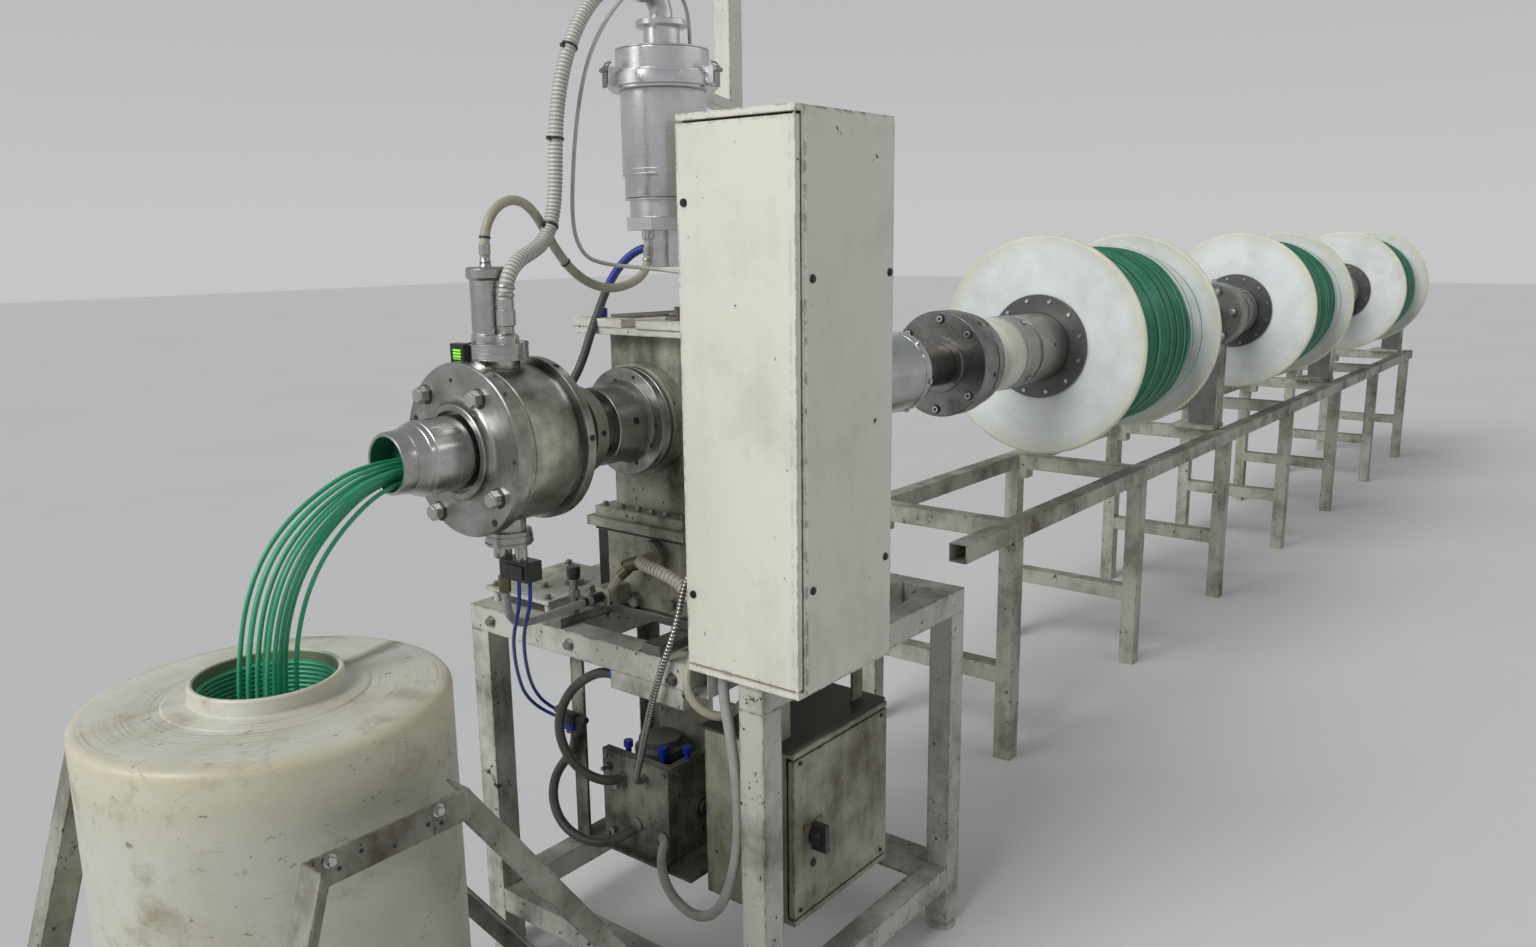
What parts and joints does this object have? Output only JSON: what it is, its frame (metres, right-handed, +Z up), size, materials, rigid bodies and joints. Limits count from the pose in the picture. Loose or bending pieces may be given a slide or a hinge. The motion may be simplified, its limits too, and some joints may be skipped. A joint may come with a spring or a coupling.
{
  "type": "plastic strand reeling line",
  "caption": "Hollow-shaft strand line: large flanged reels on one long spindle, a bearing stand with strand head and cabinets, and loose strands falling into a receiving drum.",
  "frame": {"origin": "centre of the footprint on the floor, cords not counted", "axes": "+X along the spindle from the receiving drum to the reels, +Y across the line to its far side, +Z up"},
  "size_m": [9.822, 1.018, 2.4],
  "materials": {
    "black_plastic": "moulded plastic",
    "brushed_conduit": "wound metal sleeve",
    "cream_paint": "smooth enamel",
    "dark_paint": "dark enamel",
    "dark_steel": "dark oiled steel",
    "drum_plastic": "thick natural plastic, stained",
    "grimy_paint": "enamel with grime",
    "ground_steel": "ground and slightly worn",
    "hose_beige": "smooth hose, a little dirty",
    "hose_blue": "air tube",
    "hose_dark": "smooth hose",
    "hose_grey": "ribbed hose",
    "polished_steel": "fine turned stainless steel",
    "reel_plastic": "milky moulded plastic",
    "stand_paint": "off-white paint with chips",
    "strand_green": "extruded strand",
    "table_paint": "semi-gloss paint with scuffs",
    "white_plastic": "milky plastic"
  },
  "bodies": {
    "line": {"air_hose": "hose_blue", "air_tubes": "hose_blue", "base_block": "cream_paint", "bearing_barrel": "ground_steel", "bearing_housing": "cream_paint", "bottom_port": "polished_steel", "cabinet_hose": "hose_grey", "canister_body": "polished_steel", "canister_cap": "polished_steel", "canister_post": "cream_paint", "canister_ring": "polished_steel", "drain_hose": "hose_grey", "drive_frame": "cream_paint", "drum": "drum_plastic", "drum_channels": "stand_paint", "drum_coil": "strand_green", "drum_stand": "stand_paint", "gear_unit": "dark_paint", "head_body": "polished_steel", "head_front_cover": "polished_steel", "head_rear_cover": "polished_steel", "housing_shelf": "cream_paint", "hub_flange": "ground_steel", "lower_cabinet": "grimy_paint", "lower_loop_hose": "hose_dark", "lube_hose": "hose_beige", "metal_conduit": "brushed_conduit", "outlet_tube": "polished_steel", "port_cylinder": "polished_steel", "port_hose": "hose_beige", "pump_block": "dark_paint", "quill_clamp": "ground_steel", "quill_tube": "dark_steel", "saddle_plate": "ground_steel", "sensor_cable": "hose_grey", "slide_plates": "ground_steel", "slide_rails": "ground_steel", "spindle_bearings": "cream_paint", "stand_rails": "stand_paint", "stand_trestles": "stand_paint", "strands": "strand_green", "suction_hose": "hose_grey", "table_base_rails": "table_paint", "table_legs": "table_paint", "table_top_frame": "table_paint", "tall_cabinet": "cream_paint", "top_port": "polished_steel", "upper_loop_hose": "hose_dark", "valve_block": "ground_steel"},
    "rotor": {"spindle": "dark_steel", "coupling_disc": "ground_steel", "cone_spacer": "white_plastic", "hub_tubes": "ground_steel", "hub_plates": "dark_steel", "reels": "reel_plastic", "windings": "strand_green"},
    "tall_door": {"tall_cabinet_door": "cream_paint"},
    "lower_door": {"lower_cabinet_door": "grimy_paint"},
    "switch": {"main_switch_knob": "black_plastic"}
  },
  "joints": [
    {"name": "spindle_spin", "type": "hinge", "parent": "line", "child": "rotor", "pos_m": [-1.731, 0.034, 1.37], "axis": [1, 0, 0], "continuous": true},
    {"name": "tall_door_hinge", "type": "hinge", "parent": "line", "child": "tall_door", "pos_m": [-3.7405, -0.5005, 1.439], "axis": [0, 0, 1], "range_deg": [0, 110]},
    {"name": "lower_door_hinge", "type": "hinge", "parent": "line", "child": "lower_door", "pos_m": [-3.2765, -0.3955, 0.5285], "axis": [0, 0, 1], "range_deg": [0, 110]},
    {"name": "main_switch_turn", "type": "hinge", "parent": "lower_door", "child": "switch", "pos_m": [-3.559, -0.418, 0.52], "axis": [0, 1, 0], "range_deg": [0, 90]}
  ]
}
